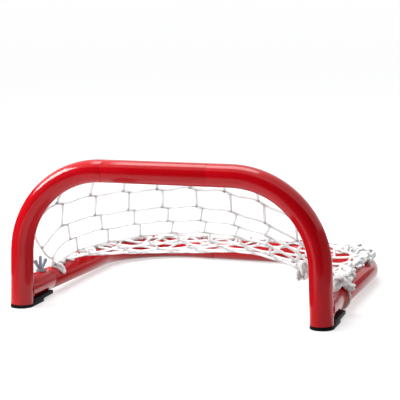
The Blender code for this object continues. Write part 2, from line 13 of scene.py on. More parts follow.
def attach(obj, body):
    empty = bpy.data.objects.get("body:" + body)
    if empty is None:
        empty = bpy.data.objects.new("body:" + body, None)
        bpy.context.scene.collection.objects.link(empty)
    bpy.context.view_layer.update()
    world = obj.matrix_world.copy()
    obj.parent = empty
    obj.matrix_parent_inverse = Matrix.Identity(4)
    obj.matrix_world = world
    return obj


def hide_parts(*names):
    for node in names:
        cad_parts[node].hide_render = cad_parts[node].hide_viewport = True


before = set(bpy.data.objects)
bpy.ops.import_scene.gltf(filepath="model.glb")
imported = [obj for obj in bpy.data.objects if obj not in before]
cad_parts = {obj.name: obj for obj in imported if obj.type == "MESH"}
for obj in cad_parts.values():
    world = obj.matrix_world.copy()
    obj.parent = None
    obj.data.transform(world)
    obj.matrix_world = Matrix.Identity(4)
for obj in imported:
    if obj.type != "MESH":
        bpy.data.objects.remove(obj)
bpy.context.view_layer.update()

# Frame tube, as in the part
TUBE_RADIUS = 0.019
TUBE_WALL = 0.0015
BEND_RADIUS = 0.1456
NECK_LENGTH = 0.045
NECK_RADIUS = 0.0172
SHOULDER = 0.0015
SEAT_GAP = 0.0003
SEAM_GAP = 0.0001
LEG_SPREAD = 0.5188
LEG_FLARE = math.radians(1.9)
CROSSBAR_HEIGHT = 0.2356
CROSSBAR_LEFT_SEAM = 0.106
CROSSBAR_RIGHT_SEAM = 0.073
BASE_DEPTH = 0.4854
SOCKET_HEIGHT = 0.0288
SOCKET_REACH = 0.095
BACK_LEFT_SEAM = 0.073
BACK_RIGHT_SEAM = 0.106
SOLE_THICKNESS = 0.0048
BOLT_REACH = 0.072
BOLT_RADIUS = 0.003
HOOP_Y = -0.24245
BASE_SLOPE = math.asin((SOCKET_HEIGHT - TUBE_RADIUS) / BASE_DEPTH)
BASE_RUN = BASE_DEPTH / math.cos(BASE_SLOPE)
SOCKET_SPREAD = LEG_SPREAD - 2 * SOCKET_HEIGHT * math.tan(LEG_FLARE)

# Finish of the tubes
TUBE_SIDES = 64
BEND_STEPS = 44
EDGE_ROUNDING = 0.00025
NECK_CHAMFER = 0.0006
SHARP_ANGLE = math.radians(40)
BOLT_HOLE_CLEARANCE = 0.0004
CUTTER_REACH = 0.07
POST_CUTTER = 0.09
WELD_STEPS = 120
WELD_SEAT = 0.0006
WELD_RADIUS = 0.0017

# Twine: its make, and how far its middle stays from the tubes and the floor
TWINE = 0.004
TWINE_SIDES = 9
TWINE_STRANDS = 3
TWINE_GROOVE = 0.16
TWINE_STEP = 0.00175
TWIST_PITCH = 0.014
TWINE_SEAT = 0.0024
TANGLE_SEAT = 0.0022
FLOOR_SEAT = 0.0042
BORDER_LIFT = TUBE_RADIUS + 0.0034

# Net: its first rows hang steeply and are drawn thick
MAIN_COLUMNS = 9
SPARE_COLUMNS = 2
COLUMNS = MAIN_COLUMNS + SPARE_COLUMNS
NET_ROWS = 11
STEEP_ROWS = 4
THICK_ROWS = 5
NET_GIRTH = 1.22
JOINT_SWELL = 0.28
JOINT_END_SWELL = 0.23
JOINT_TAPER = 0.0022

# Net: where its border runs, as distances from the middle of the tubes. At a turn it leaves
# a leg and meets a rail, and these two are measured from the tubes' open ends
FIRST_COLUMN = -0.238
MESH_WIDTH = 0.0543
BACK_LEFT = -0.225
BACK_MAIN = 0.215
BACK_RIGHT = 0.245
LEFT_TURN = (0.098, 0.112)
RIGHT_TURN = (0.070, 0.100)
LEFT_FIRST_ROWS = (0.0, 0.054, 0.125)
LEG_PULL = np.array((0.018, 0.024, 0.004))
RAIL_PULL = np.array((0.022, 0.012, -0.010))
HEAP_FRONT = 0.115

# Net: lengths of twine from joint to joint, and what shares they are drawn out or in by
JOINT_LENGTH = 0.010
STEEP_LEVEL = 0.0495
LYING_LEVEL = 0.047
SPARE_LEVEL = 0.034
SPARE_UPRIGHT = 0.040
FIRST_UPRIGHTS = (0.046, 0.052, 0.045, 0.040, 0.034, 0.038, 0.048, 0.050, 0.040, 0.040)
UPRIGHTS = (0.040, 0.044, 0.044, 0.045, 0.046, 0.046, 0.046, 0.046, 0.046, 0.047, 0.047)
COLUMN_STRETCH = (1.0, 0.993, 0.965, 0.93, 0.90, 0.885, 0.92, 0.985, 1.0, 1.0)
ZIGZAG = (0.86, 1.10)
BORDER_SLACK = 1.02

# Settling of the net: how stiff its twines are, alone and where they leave a joint, and
# the loads that shape its rows
TWINE_STIFFNESS = 0.06
LYING_STIFFNESS = 0.02
JOINT_STIFFNESS = 0.16
LYING_JOINT_STIFFNESS = 0.04
ROW_LOADS = {1: 5, 2: 5, 3: 2}
SPARE_LOAD = 1.5
SETTLING_STEPS = 300
ROUNDS = 12
GRAVITY = 2e-5
DAMPING = 0.96

# Spare net heaped on the base, and its lacing: lumps at distances back along a rail and
# at angles from its crown, in degrees, or at places beside the right post
HEAP_GIRTH = 1.5
HEAP_GROOVE = 0.06
HEAP_LUMPS = 30
HEAP_START = 0.100
HEAP_RUN = 0.355
HEAP_ANGLES = ((0.135, (-60, 20)), (0.20, (-26, 30)), (0.31, (5, 60)), (1.0, (-22, 48)))
RIGHT_NUT_LUMPS = ((0.272, -0.196, 0.060), (0.275, -0.190, 0.069), (0.277, -0.152, 0.060))
RIGHT_POST_LUMPS = ((0.203, -0.150, 0.066), (0.208, -0.160, 0.078), (0.199, -0.142, 0.076))
LEFT_LUMPS = ((0.118, 10, 0.006), (0.136, -10, 0.006), (0.152, 18, 0.005), (0.172, 0, 0.0055))
LACING_STEP = 0.006
LACINGS = (  # start, end, phase, lift, period, low angle, high angle, girth
    (-0.555, 0.52, 0.0, 0.0062, 0.062, -14, 14, 1.1),
    (-0.555, -0.36, 0.5, 0.0024, 0.050, -30, 26, 1.0),
    (-0.36, 0.36, math.pi, 0.0024, 0.072, 12, 52, 1.1))
TIE_REACH = 0.106

# Stage
FLOOR_REACH = 60.0
BRIGHT_SIDE = (-0.42, 0.91, 0.0)
WHITE = (1.0, 1.0, 1.0, 1.0)
CAMERA_PLACE = (0.73705, -2.24744, 0.52151)
CAMERA_ANGLES = (18.6868, 8.7678, -0.3839)
CAMERA_LENS = 121.03


# Paths of the tubes

def corner_path(spread, reach, flare):
    """Half of a U as (start, quarter turn, leg run, bend run, distance to the middle)."""
    bend_start = reach - BEND_RADIUS * (1 - math.sin(flare))
    first_run = bend_start / math.cos(flare)
    quarter = math.pi / 2 - flare
    bend_run = BEND_RADIUS * quarter
    bend_end = -spread / 2 + bend_start * math.tan(flare) + BEND_RADIUS * math.cos(flare)
    return (-spread / 2, quarter, first_run, bend_run, first_run + bend_run - bend_end)


HOOP = corner_path(LEG_SPREAD, CROSSBAR_HEIGHT, LEG_FLARE)
BASE = corner_path(SOCKET_SPREAD, BASE_RUN, 0.0)
HOOP_MIDDLE = HOOP[4]
BASE_MIDDLE = BASE[4]


def path_points(path, distance):
    """Flat coordinates at signed distances from the middle of a U."""
    start, quarter, first_run, bend_run, middle = path
    distance = np.asarray(distance, float)
    side = np.where(distance < 0, 1.0, -1.0)
    s = middle - np.abs(distance)
    run = np.minimum(s, first_run)
    x = start + run * math.cos(quarter)
    y = run * math.sin(quarter)
    turned = np.clip(s - first_run, 0, bend_run) / BEND_RADIUS
    x = x + BEND_RADIUS * (math.sin(quarter) - np.sin(quarter - turned))
    y = y + BEND_RADIUS * (np.cos(quarter - turned) - math.cos(quarter))
    x = x + np.maximum(s - first_run - bend_run, 0)
    return side * x, y


def inner_side(path, distance):
    """Flat coordinates with the unit direction to the inside of the U."""
    x, y = path_points(path, distance)
    xa, ya = path_points(path, np.asarray(distance) + 1e-4)
    heading = np.stack([xa - x, ya - y], -1)
    heading = heading / np.linalg.norm(heading, axis=-1, keepdims=True)
    return x, y, heading[..., 1], -heading[..., 0]


def hoop_point(distance, radius, angle):
    """Point on the hoop's skin; angle 0 is the back, +90 degrees the inner side."""
    x, z, ax, az = inner_side(HOOP, distance)
    out = np.zeros(np.shape(x) + (3,))
    out[..., 0] = x + ax * radius * np.sin(angle)
    out[..., 1] = HOOP_Y + radius * np.cos(angle)
    out[..., 2] = z + az * radius * np.sin(angle)
    return out


def base_point(distance, radius, angle):
    """Point on the base's skin; angle 0 is the crown, +90 degrees the inner side."""
    x, y, ax, ay = inner_side(BASE, distance)
    flat = np.zeros(np.shape(x) + (3,))
    flat[..., 0] = x + ax * radius * np.sin(angle)
    flat[..., 1] = y + ay * radius * np.sin(angle)
    flat[..., 2] = radius * np.cos(angle)
    return from_base(flat)


def to_base(points):
    """Points in the base's own plane: across, along, up."""
    c, s = math.cos(-BASE_SLOPE), math.sin(-BASE_SLOPE)
    y = points[..., 1] - HOOP_Y
    z = points[..., 2] - SOCKET_HEIGHT
    return np.stack([points[..., 0], y * c + z * s, -y * s + z * c], -1)


def from_base(points):
    """World points of points in the base's own plane."""
    c, s = math.cos(-BASE_SLOPE), math.sin(-BASE_SLOPE)
    y = HOOP_Y + points[..., 1] * c - points[..., 2] * s
    z = SOCKET_HEIGHT + points[..., 1] * s + points[..., 2] * c
    return np.stack([points[..., 0], y, z], -1)


def nearest_on_path(path, x, y):
    """Nearest points of a whole U to flat coordinates."""
    start, quarter, first_run, bend_run, middle = path
    ux, uy = math.cos(quarter), math.sin(quarter)
    px = -np.abs(x)
    along = np.clip((px - start) * ux + y * uy, 0, first_run)
    leg = np.stack([start + along * ux, along * uy], 1)
    bend_x = start + first_run * ux + BEND_RADIUS * math.sin(quarter)
    bend_y = first_run * uy - BEND_RADIUS * math.cos(quarter)
    dx, dy = px - bend_x, y - bend_y
    gap = np.maximum(np.hypot(dx, dy), 1e-9)
    arc = np.stack([bend_x + dx / gap * BEND_RADIUS, bend_y + dy / gap * BEND_RADIUS], 1)
    top = np.stack([np.maximum(px, bend_x), np.full(len(px), bend_y + BEND_RADIUS)], 1)
    on_arc = (dx <= 0) & (dx * ux + dy * uy >= 0)
    best = leg
    best_gap = np.hypot(px - leg[:, 0], y - leg[:, 1])
    for candidate, usable in ((arc, on_arc), (top, np.ones(len(px), bool))):
        other = np.where(usable, np.hypot(px - candidate[:, 0], y - candidate[:, 1]), 9.0)
        closer = other < best_gap
        best = np.where(closer[:, None], candidate, best)
        best_gap = np.where(closer, other, best_gap)
    return np.stack([np.where(x < 0, best[:, 0], -best[:, 0]), best[:, 1]], 1)


# Hanging net: twines of fixed length that come to rest under their own weight

def push_out(points, radius):
    """Move points out of the tubes and up off the floor."""
    near = nearest_on_path(HOOP, points[:, 0], points[:, 2])
    away = points - np.stack([near[:, 0], np.full(len(points), HOOP_Y), near[:, 1]], 1)
    gap = np.linalg.norm(away, axis=1)
    inside = gap < radius
    points[inside] += away[inside] * ((radius / np.maximum(gap[inside], 1e-6)) - 1)[:, None]
    flat = to_base(points)
    near = nearest_on_path(BASE, flat[:, 0], flat[:, 1])
    away = flat - np.stack([near[:, 0], near[:, 1], np.zeros(len(flat))], 1)
    gap = np.linalg.norm(away, axis=1)
    inside = gap < radius
    flat[inside] += away[inside] * ((radius / np.maximum(gap[inside], 1e-6)) - 1)[:, None]
    points[:] = from_base(flat)
    points[:, 2] = np.maximum(points[:, 2], FLOOR_SEAT)


class Web:
    """Twines as chains of points; the links of a chain keep their length."""

    def __init__(self):
        self.points = []
        self.links = []
        self.triples = []
        self.weight = {}
        self.held = set()

    def add(self, point, hold=False):
        self.points.append(np.asarray(point, float))
        if hold:
            self.held.add(len(self.points) - 1)
        return len(self.points) - 1

    def strand(self, a, b, length, pieces, stiffness=TWINE_STIFFNESS):
        chain = [a]
        for k in range(1, pieces):
            t = k / pieces
            chain.append(self.add(self.points[a] * (1 - t) + self.points[b] * t))
        chain.append(b)
        for near, far in zip(chain, chain[1:]):
            self.links.append((near, far, length / pieces))
        for triple in zip(chain, chain[1:], chain[2:]):
            self.triples.append((triple, stiffness))
        return chain


def apart(pairs, count):
    """Groups of links that share no point, so that each group moves at once."""
    groups, used = [], []
    for index, pair in enumerate(pairs):
        for group, marks in zip(groups, used):
            if not any(marks[p] for p in pair):
                break
        else:
            group, marks = [], np.zeros(count, bool)
            groups.append(group)
            used.append(marks)
        group.append(index)
        for p in pair:
            marks[p] = True
    return [np.array(group) for group in groups]


def come_to_rest(web):
    """Where the points of a web lie once it hangs still."""
    points = np.array(web.points)
    load = np.ones(len(points))
    for index, factor in web.weight.items():
        load[index] = factor
    before = points.copy()
    free = np.ones(len(points))
    free[list(web.held)] = 0.0
    loose = free > 0
    a, b = np.array([link[:2] for link in web.links]).T
    rest = np.array([link[2] for link in web.links])
    link_groups = apart([link[:2] for link in web.links], len(points))
    triples = np.array([triple for triple, stiffness in web.triples])
    stiff = np.array([stiffness for triple, stiffness in web.triples])
    bend_groups = apart([triple for triple, stiffness in web.triples], len(points))
    for _ in range(SETTLING_STEPS):
        motion = (points - before) * DAMPING
        before = points.copy()
        points = points + motion * free[:, None]
        points[:, 2] -= GRAVITY * free * load
        for _ in range(ROUNDS):
            for group in link_groups:
                ga, gb = a[group], b[group]
                gap = points[gb] - points[ga]
                length = np.maximum(np.linalg.norm(gap, axis=1), 1e-9)
                total = np.maximum(free[ga] + free[gb], 1e-9)
                shift = gap * ((length - rest[group]) / length / total)[:, None]
                points[ga] += shift * free[ga][:, None]
                points[gb] -= shift * free[gb][:, None]
            for group in bend_groups:
                p, q, r = triples[group].T
                move = ((points[p] + points[r]) / 2 - points[q]) * stiff[group][:, None]
                points[q] += move * free[q][:, None]
                points[p] -= move * 0.5 * free[p][:, None]
                points[r] -= move * 0.5 * free[r][:, None]
        moved = points[loose]
        push_out(moved, TUBE_RADIUS + TWINE_SEAT)
        points[loose] = moved
    return points


def side_border(side, top, leaves, meets, corner, first_rows):
    """Border from the arch down a leg, across to the rail and back along its crown."""
    leg = hoop_point(side * np.linspace(abs(top), HOOP_MIDDLE - leaves, 20), BORDER_LIFT, 0.0)
    rail = base_point(side * np.linspace(BASE_MIDDLE - meets, abs(corner), 60), BORDER_LIFT, 0.0)
    start, end = leg[-1], rail[0]
    near = start + LEG_PULL * (-side, 1, 1)
    far = end - RAIL_PULL * (side, 1, 1)
    t = np.linspace(0, 1, 17)[1:-1, None]
    span = (start * (1 - t) ** 3 + 3 * near * t * (1 - t) ** 2
            + 3 * far * t * t * (1 - t) + end * t ** 3)
    points = np.concatenate([leg, span, rail])
    run = np.r_[0, np.cumsum(np.linalg.norm(np.diff(points, axis=0), axis=1))]
    others = np.linspace(first_rows[-1], run[-1], NET_ROWS + 2 - len(first_rows))
    even = np.r_[first_rows[:-1], others]
    return np.stack([np.interp(even, run, points[:, k]) for k in range(3)], 1)


def lay_joints(web, rng):
    """The two end points of each joint by column and row, as the net starts to settle."""
    along = [FIRST_COLUMN + MESH_WIDTH * i for i in range(COLUMNS + 1)]
    behind = list(np.linspace(BACK_LEFT, BACK_MAIN, MAIN_COLUMNS + 1))
    behind += list(np.linspace(BACK_MAIN, BACK_RIGHT, SPARE_COLUMNS + 1)[1:])
    top = [hoop_point(d, BORDER_LIFT, 0.0) for d in along]
    bottom = [base_point(d, BORDER_LIFT, 0.0) for d in behind]
    left = side_border(-1, along[0], *LEFT_TURN, behind[0], LEFT_FIRST_ROWS)
    right = side_border(1, along[-1], *RIGHT_TURN, behind[-1], (0.0,))
    joints = {}
    for i, j in np.ndindex(COLUMNS + 1, NET_ROWS + 1):
        u, v = i / COLUMNS, j / NET_ROWS
        ruled = top[i] * (1 - v) + bottom[i] * v + left[j] * (1 - u) + right[j] * u
        corners = (top[0] * (1 - u) + top[-1] * u) * (1 - v)
        corners = corners + (bottom[0] * (1 - u) + bottom[-1] * u) * v
        place = ruled - corners
        if i in (0, COLUMNS) or j in (0, NET_ROWS):
            k = web.add(place, True)
            joints[i, j] = (k, k)
            continue
        half = np.array([JOINT_LENGTH / 2, 0, 0])
        heaped = i == COLUMNS - 1 and j > 1
        if heaped:
            back = BASE_MIDDLE - max(to_base(right[j])[1], HEAP_FRONT) + rng.uniform(-0.01, 0.01)
            place = base_point(back, BORDER_LIFT + rng.uniform(0.0, 0.007),
                               math.radians(rng.uniform(-10, 60)))
            turn = rng.uniform(0, math.pi)
            half = np.array([math.cos(turn), math.sin(turn), 0]) * JOINT_LENGTH / 2
        else:
            if i >= MAIN_COLUMNS:
                place[0] = right[j][0] - 0.035 + rng.normal(0, 0.004)
                place[2] = max(0.012, right[j][2] - 0.02)
                place[1] = (place[1] + right[j][1]) / 2
            place = place + rng.normal(0, 0.0015 if j < STEEP_ROWS else 0.006, 3)
        joints[i, j] = web.add(place - half, heaped), web.add(place + half, heaped)
        web.strand(*joints[i, j], JOINT_LENGTH, 1)
    return joints


def lay_level(web, joints, i, j, rng):
    """The level twine from a joint to the next column, stiffer where it leaves a joint."""
    main, thick = i < MAIN_COLUMNS - 1, j < THICK_ROWS
    length = (STEEP_LEVEL if j < STEEP_ROWS else LYING_LEVEL) if main else SPARE_LEVEL
    if i in (0, COLUMNS - 1):
        length += JOINT_LENGTH / 2
    if j >= STEEP_ROWS:
        length *= rng.uniform(0.95, 1.05) if thick else rng.uniform(0.96, 1.08)
    near, far = joints[i, j], joints[i + 1, j]
    chain = web.strand(near[1], far[0], length, 4 if thick else 6,
                       TWINE_STIFFNESS if thick else LYING_STIFFNESS)
    stiffness = LYING_STIFFNESS
    if main:
        stiffness = JOINT_STIFFNESS if thick else LYING_JOINT_STIFFNESS
    if i > 0:
        web.triples.append(((*near, chain[1]), stiffness))
    if i < COLUMNS - 1:
        web.triples.append(((chain[-2], *far), stiffness))
    load = ROW_LOADS[j] if j in ROW_LOADS else rng.uniform(0.8, 2.2)
    for k in chain:
        web.weight[k] = load if main else SPARE_LOAD
    return chain


def lay_twines(web, joints, rng):
    """The chains of the level and the upright twines by column and row."""
    level, upright = {}, {}

    def border(a, b):
        span = np.linalg.norm(web.points[a] - web.points[b])
        return web.strand(a, b, span * BORDER_SLACK, 4)

    for i, j in np.ndindex(COLUMNS + 1, NET_ROWS + 1):
        if i < COLUMNS and j in (0, NET_ROWS):
            level[i, j] = border(joints[i, j][1], joints[i + 1, j][0])
        elif i < COLUMNS:
            level[i, j] = lay_level(web, joints, i, j, rng)
        if j == NET_ROWS:
            continue
        a, b = joints[i, j][1], joints[i, j + 1][0]
        if i in (0, COLUMNS):
            upright[i, j] = border(a, b)
            continue
        length = UPRIGHTS[j] if i < MAIN_COLUMNS else SPARE_UPRIGHT
        if j == 0:
            length = FIRST_UPRIGHTS[i - 1]
        if j >= STEEP_ROWS:
            length *= COLUMN_STRETCH[i - 1] * rng.uniform(0.90, 1.10) * ZIGZAG[(i + j) % 2]
        upright[i, j] = web.strand(a, b, length, 4)
    return level, upright


def thick_at_joints(chains, points, girth):
    """Points and girths of a row of twine that is thicker along its joints."""
    places, girths = [], []

    def beside(place, other):
        return place + (other - place) / max(np.linalg.norm(other - place), 1e-6) * JOINT_TAPER

    for index, chain in enumerate(chains):
        run = points[chain]
        if index > 0:
            places += [(places[-1] + run[0]) / 2, run[0], beside(run[0], run[1])]
            girths += [girth + JOINT_SWELL, girth + JOINT_END_SWELL, girth]
            run = run[1:]
        places += list(run[:-1])
        girths += [girth] * (len(run) - 1)
        if index < len(chains) - 1:
            places += [beside(run[-1], run[-2]), run[-1]]
            girths += [girth, girth + JOINT_END_SWELL]
        else:
            places.append(run[-1])
            girths.append(girth)
    return np.array(places), np.array(girths)


def hang_net():
    """The net at rest, as a list of (points, girth, closed), its border last."""
    rng = np.random.default_rng(7)
    web = Web()
    level, upright = lay_twines(web, lay_joints(web, rng), rng)
    points = come_to_rest(web)
    twines = []
    for j in range(1, NET_ROWS):
        row = [level[i, j] for i in range(COLUMNS)]
        girth = NET_GIRTH if j < THICK_ROWS else 1.0
        twines.append((*thick_at_joints(row, points, girth), False))
    for i in range(1, COLUMNS):
        for j in range(NET_ROWS):
            girth = NET_GIRTH if j < STEEP_ROWS else 1.0
            twines.append((points[upright[i, j]], girth, False))
    border = [k for i in range(COLUMNS) for k in level[i, 0][:-1]]
    border += [k for j in range(NET_ROWS) for k in upright[COLUMNS, j][:-1]]
    border += [k for i in reversed(range(COLUMNS)) for k in level[i, NET_ROWS][:0:-1]]
    border += [k for j in reversed(range(NET_ROWS)) for k in upright[0, j][:0:-1]]
    return twines + [(points[border], NET_GIRTH, True)]


# Loose twine on the base, and the ties

def tangle(centre, size, rng):
    """A closed wandering loop of twine, drawn up into a lump that rests on the tube."""
    turn = np.linspace(0, math.tau, 28, endpoint=False)
    places = np.zeros((28, 3))
    for axis in range(3):
        for wave in (1, 2, 3):
            places[:, axis] += rng.normal(0, 1.0 / wave ** 0.6) * np.sin(
                wave * turn + rng.uniform(0, math.tau))
    places *= size / np.sqrt((places ** 2).sum(1).mean())
    places = places + centre
    push_out(places, TUBE_RADIUS + TANGLE_SEAT)
    return places, HEAP_GIRTH, True


def heap_lumps():
    """Lumps of spare net along the right rail, by the right post and at the left corner."""
    rng = np.random.default_rng(21)
    lumps = []
    for k in range(HEAP_LUMPS):
        back = HEAP_START + HEAP_RUN * (k + rng.uniform(-0.4, 0.4)) / (HEAP_LUMPS - 1)
        low, high = next(angles for end, angles in HEAP_ANGLES if back < end)
        angle = math.radians(rng.uniform(low, high))
        centre = base_point(BASE_MIDDLE - back, TUBE_RADIUS + rng.uniform(0.004, 0.008), angle)
        size = rng.uniform(0.0060, 0.0085)
        lumps += [tangle(centre, size, rng), tangle(centre, size * 0.8, rng)]
    for places, size, count in ((RIGHT_NUT_LUMPS, 0.0072, 2), (RIGHT_POST_LUMPS, 0.0085, 1)):
        lumps += [tangle(np.array(place), size, rng) for place in places for _ in range(count)]
    for back, angle, size in LEFT_LUMPS:
        centre = base_point(back - BASE_MIDDLE, TUBE_RADIUS + 0.006, math.radians(angle))
        lumps.append(tangle(centre, size, rng))
    return lumps


def crown_lacing(start, end, phase, lift, period, low, high, girth):
    """A lacing twine that winds from side to side over the crown of the base."""
    s = np.linspace(start, end, int(abs(end - start) / LACING_STEP))
    swing = np.sin(math.tau * s / period + phase)
    angle = np.radians((low + high) / 2 + (high - low) / 2 * swing)
    places = [base_point(a, TUBE_RADIUS + lift, b) for a, b in zip(s, angle)]
    return np.array(places), girth, False


def right_tie():
    """A loop of cord once round the right rail, its ends meeting over the crown."""
    places = []
    for k in range(29):
        turn = math.radians(-158 + 316 * k / 28)
        lift = TUBE_RADIUS + 0.0021 + 0.006 * max(0.0, -math.cos(turn)) ** 2
        places.append(base_point(BASE_MIDDLE - TIE_REACH - 0.004 * math.sin(turn), lift,
                                 turn + math.pi))
    return np.array(places), 1.25, False


def left_tie():
    """The cord end that hangs as a narrow loop over the left rail's inner shoulder."""
    places = []
    for share in np.linspace(0, 1, 15):
        out = math.sin(math.pi * share)
        back = 0.137 - 0.025 * share
        angle = math.radians(2 + 66 * out)
        places.append(base_point(back - BASE_MIDDLE, TUBE_RADIUS + 0.0026 + 0.001 * out, angle))
    return np.array(places), 1.5, False


# Node trees

class Nodes:
    """A node tree, built with short calls."""

    def __init__(self, tree):
        self.tree = tree

    def link(self, start, end):
        self.tree.links.new(start, end)

    def add(self, kind, inputs=(), **settings):
        """A node; inputs gives its sockets numbers, colours or the outputs of other nodes."""
        node = self.tree.nodes.new(kind)
        for key, value in settings.items():
            setattr(node, key, value)
        for key, value in dict(inputs).items():
            if isinstance(value, bpy.types.NodeSocket):
                self.link(value, node.inputs[key])
            else:
                node.inputs[key].default_value = value
        return node

    def maths(self, operation, *values):
        node = self.add("ShaderNodeMath", enumerate(values), operation=operation)
        return node.outputs[0]

    def fade(self, value, start, end, low=0.0, high=1.0):
        """Runs from start to end while the value runs from low to high."""
        node = self.add("ShaderNodeMapRange", {"Value": value, "From Min": low, "From Max": high,
                                               "To Min": start, "To Max": end})
        return node.outputs["Result"]


class Growth(Nodes):
    """A geometry node group with named inputs, its material first."""

    def __init__(self, name, sizes):
        super().__init__(bpy.data.node_groups.new(name, "GeometryNodeTree"))
        face = self.tree.interface
        face.new_socket("Geometry", in_out="INPUT", socket_type="NodeSocketGeometry")
        face.new_socket("Finish", in_out="INPUT", socket_type="NodeSocketMaterial")
        for label, kind, value in sizes:
            face.new_socket(label, in_out="INPUT", socket_type=kind).default_value = value
        face.new_socket("Geometry", in_out="OUTPUT", socket_type="NodeSocketGeometry")
        self.given = self.add("NodeGroupInput").outputs

    def girth(self):
        """The path's own girth at each point."""
        node = self.add("GeometryNodeInputNamedAttribute", {"Name": "girth"}, data_type="FLOAT")
        return node.outputs["Attribute"]

    def finish(self, skin):
        """Smooth and paint a skin, and send it out."""
        smooth = self.add("GeometryNodeSetShadeSmooth", {"Geometry": skin.outputs[0]})
        realize = self.add("GeometryNodeRealizeInstances", {"Geometry": smooth.outputs[0]})
        paint = self.add("GeometryNodeSetMaterial", {"Geometry": realize.outputs[0],
                                                     "Material": self.given["Finish"]})
        self.add("NodeGroupOutput", {0: paint.outputs[0]})
        return self.tree


def tube_tree():
    """A round tube along a path, whose radius at each point is the path's girth."""
    tree = Growth("tube_along_path", (("Sides", "NodeSocketInt", TUBE_SIDES),
                                      ("Closed Ends", "NodeSocketBool", False)))
    curve = tree.add("GeometryNodeMeshToCurve", {"Mesh": tree.given["Geometry"]})
    profile = tree.add("GeometryNodeCurvePrimitiveCircle", {"Resolution": tree.given["Sides"],
                                                            "Radius": 1.0})
    return tree.finish(tree.add("GeometryNodeCurveToMesh", {
        "Curve": curve.outputs[0], "Profile Curve": profile.outputs["Curve"],
        "Scale": tree.girth(), "Fill Caps": tree.given["Closed Ends"]}))


def twine_tree():
    """Three-strand twisted twine along paths, thicker where their girth is more than 1."""
    tree = Growth("twisted_twine", (("Thickness", "NodeSocketFloat", TWINE),
                                    ("Twist Pitch", "NodeSocketFloat", TWIST_PITCH),
                                    ("Step", "NodeSocketFloat", TWINE_STEP),
                                    ("Groove", "NodeSocketFloat", TWINE_GROOVE)))
    curve = tree.add("GeometryNodeMeshToCurve", {"Mesh": tree.given["Geometry"]})
    smooth_path = tree.add("GeometryNodeCurveSplineType", {"Curve": curve.outputs[0]},
                           spline_type="CATMULL_ROM")
    even = tree.add("GeometryNodeResampleCurve", {"Curve": smooth_path.outputs[0],
                                                  "Length": tree.given["Step"]}, mode="LENGTH")
    place = tree.add("GeometryNodeSplineParameter")
    turns = tree.maths("DIVIDE", place.outputs["Length"], tree.given["Twist Pitch"])
    tilt = tree.add("GeometryNodeSetCurveTilt", {"Curve": even.outputs[0],
                                                 "Tilt": tree.maths("MULTIPLY", turns, math.tau)})
    ring = tree.add("GeometryNodeCurvePrimitiveCircle", {"Resolution": TWINE_SIDES, "Radius": 0.5})
    around = tree.add("GeometryNodeSplineParameter")
    strands = tree.maths("MULTIPLY", around.outputs["Factor"], TWINE_STRANDS * math.tau)
    swell = tree.maths("MULTIPLY", tree.maths("COSINE", strands), tree.given["Groove"])
    position = tree.add("GeometryNodeInputPosition")
    outward = tree.add("ShaderNodeVectorMath", {0: position.outputs[0], "Scale": swell},
                       operation="SCALE")
    grooved = tree.add("GeometryNodeSetPosition", {"Geometry": ring.outputs["Curve"],
                                                   "Offset": outward.outputs[0]})
    return tree.finish(tree.add("GeometryNodeCurveToMesh", {
        "Curve": tilt.outputs[0], "Profile Curve": grooved.outputs[0], "Fill Caps": True,
        "Scale": tree.maths("MULTIPLY", tree.girth(), tree.given["Thickness"])}))


TREES = {"tube": tube_tree(), "twine": twine_tree()}


# Making pieces

def placed(name, data):
    """A new object in the scene."""
    item = bpy.data.objects.new(name, data)
    bpy.context.collection.objects.link(item)
    return item


def evaluated_mesh(item):
    """The mesh that an object's modifiers make."""
    bpy.context.view_layer.update()
    shown = item.evaluated_get(bpy.context.evaluated_depsgraph_get())
    return bpy.data.meshes.new_from_object(shown)


def grow(name, paths, tree, finish, sizes=()):
    """Grow a piece along paths, given as (points, girth, closed), with a node tree."""
    places, edges, girths = [], [], []
    for points, girth, closed in paths:
        first = len(places)
        places += [tuple(point) for point in points]
        girths += list(np.broadcast_to(girth, len(points)))
        edges += [(first + k, first + k + 1) for k in range(len(points) - 1)]
        if closed:
            edges.append((len(places) - 1, first))
    mesh = bpy.data.meshes.new(name + "_path")
    mesh.from_pydata(places, edges, [])
    mesh.attributes.new("girth", "FLOAT", "POINT").data.foreach_set("value", girths)
    seed = placed(name + "_path", mesh)
    modifier = seed.modifiers.new(tree, "NODES")
    modifier.node_group = TREES[tree]
    values = {"Finish": FINISHES[finish], **dict(sizes)}
    for item in TREES[tree].interface.items_tree:
        if item.in_out == "INPUT" and item.name in values:
            modifier[item.identifier] = values[item.name]
    result = evaluated_mesh(seed)
    result.name = name
    bpy.data.objects.remove(seed, do_unlink=True)
    bpy.data.meshes.remove(mesh)
    return placed(name, result)


def apply_modifiers(piece):
    """Replace a piece's mesh by what its modifiers make of it."""
    mesh = evaluated_mesh(piece)
    mesh.name = piece.name
    piece.modifiers.clear()
    piece.data = mesh


def mount(piece, body, slot, *nodes):
    """Let a finished piece ride on a body, in the place of the CAD nodes that are named."""
    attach(piece, body)
    if nodes:
        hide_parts(*nodes)


# Materials

